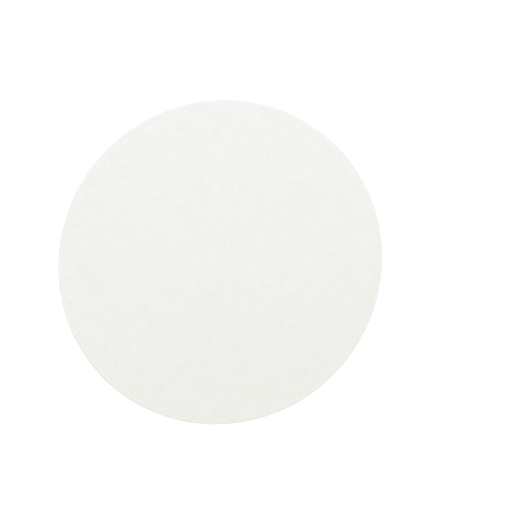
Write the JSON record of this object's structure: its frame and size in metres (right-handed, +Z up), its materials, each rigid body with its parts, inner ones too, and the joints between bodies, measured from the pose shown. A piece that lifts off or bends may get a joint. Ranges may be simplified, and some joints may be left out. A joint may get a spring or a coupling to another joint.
{
  "type": "filter paper disc",
  "caption": "Flat round of smooth off-white filter paper with a punched edge, laid on a funnel plate or support screen to strain solids from a liquid.",
  "frame": {"origin": "middle of the underside, on the surface that the disc lies on", "axes": "+Z up through the paper, out of the side that the die came down on; X and Y lie in the sheet, with no preferred direction"},
  "size_m": [0.055, 0.055, 0.0002],
  "materials": {
    "paper": "uncoated"
  },
  "bodies": {
    "root": {"paper_disc": "paper"}
  },
  "joints": []
}
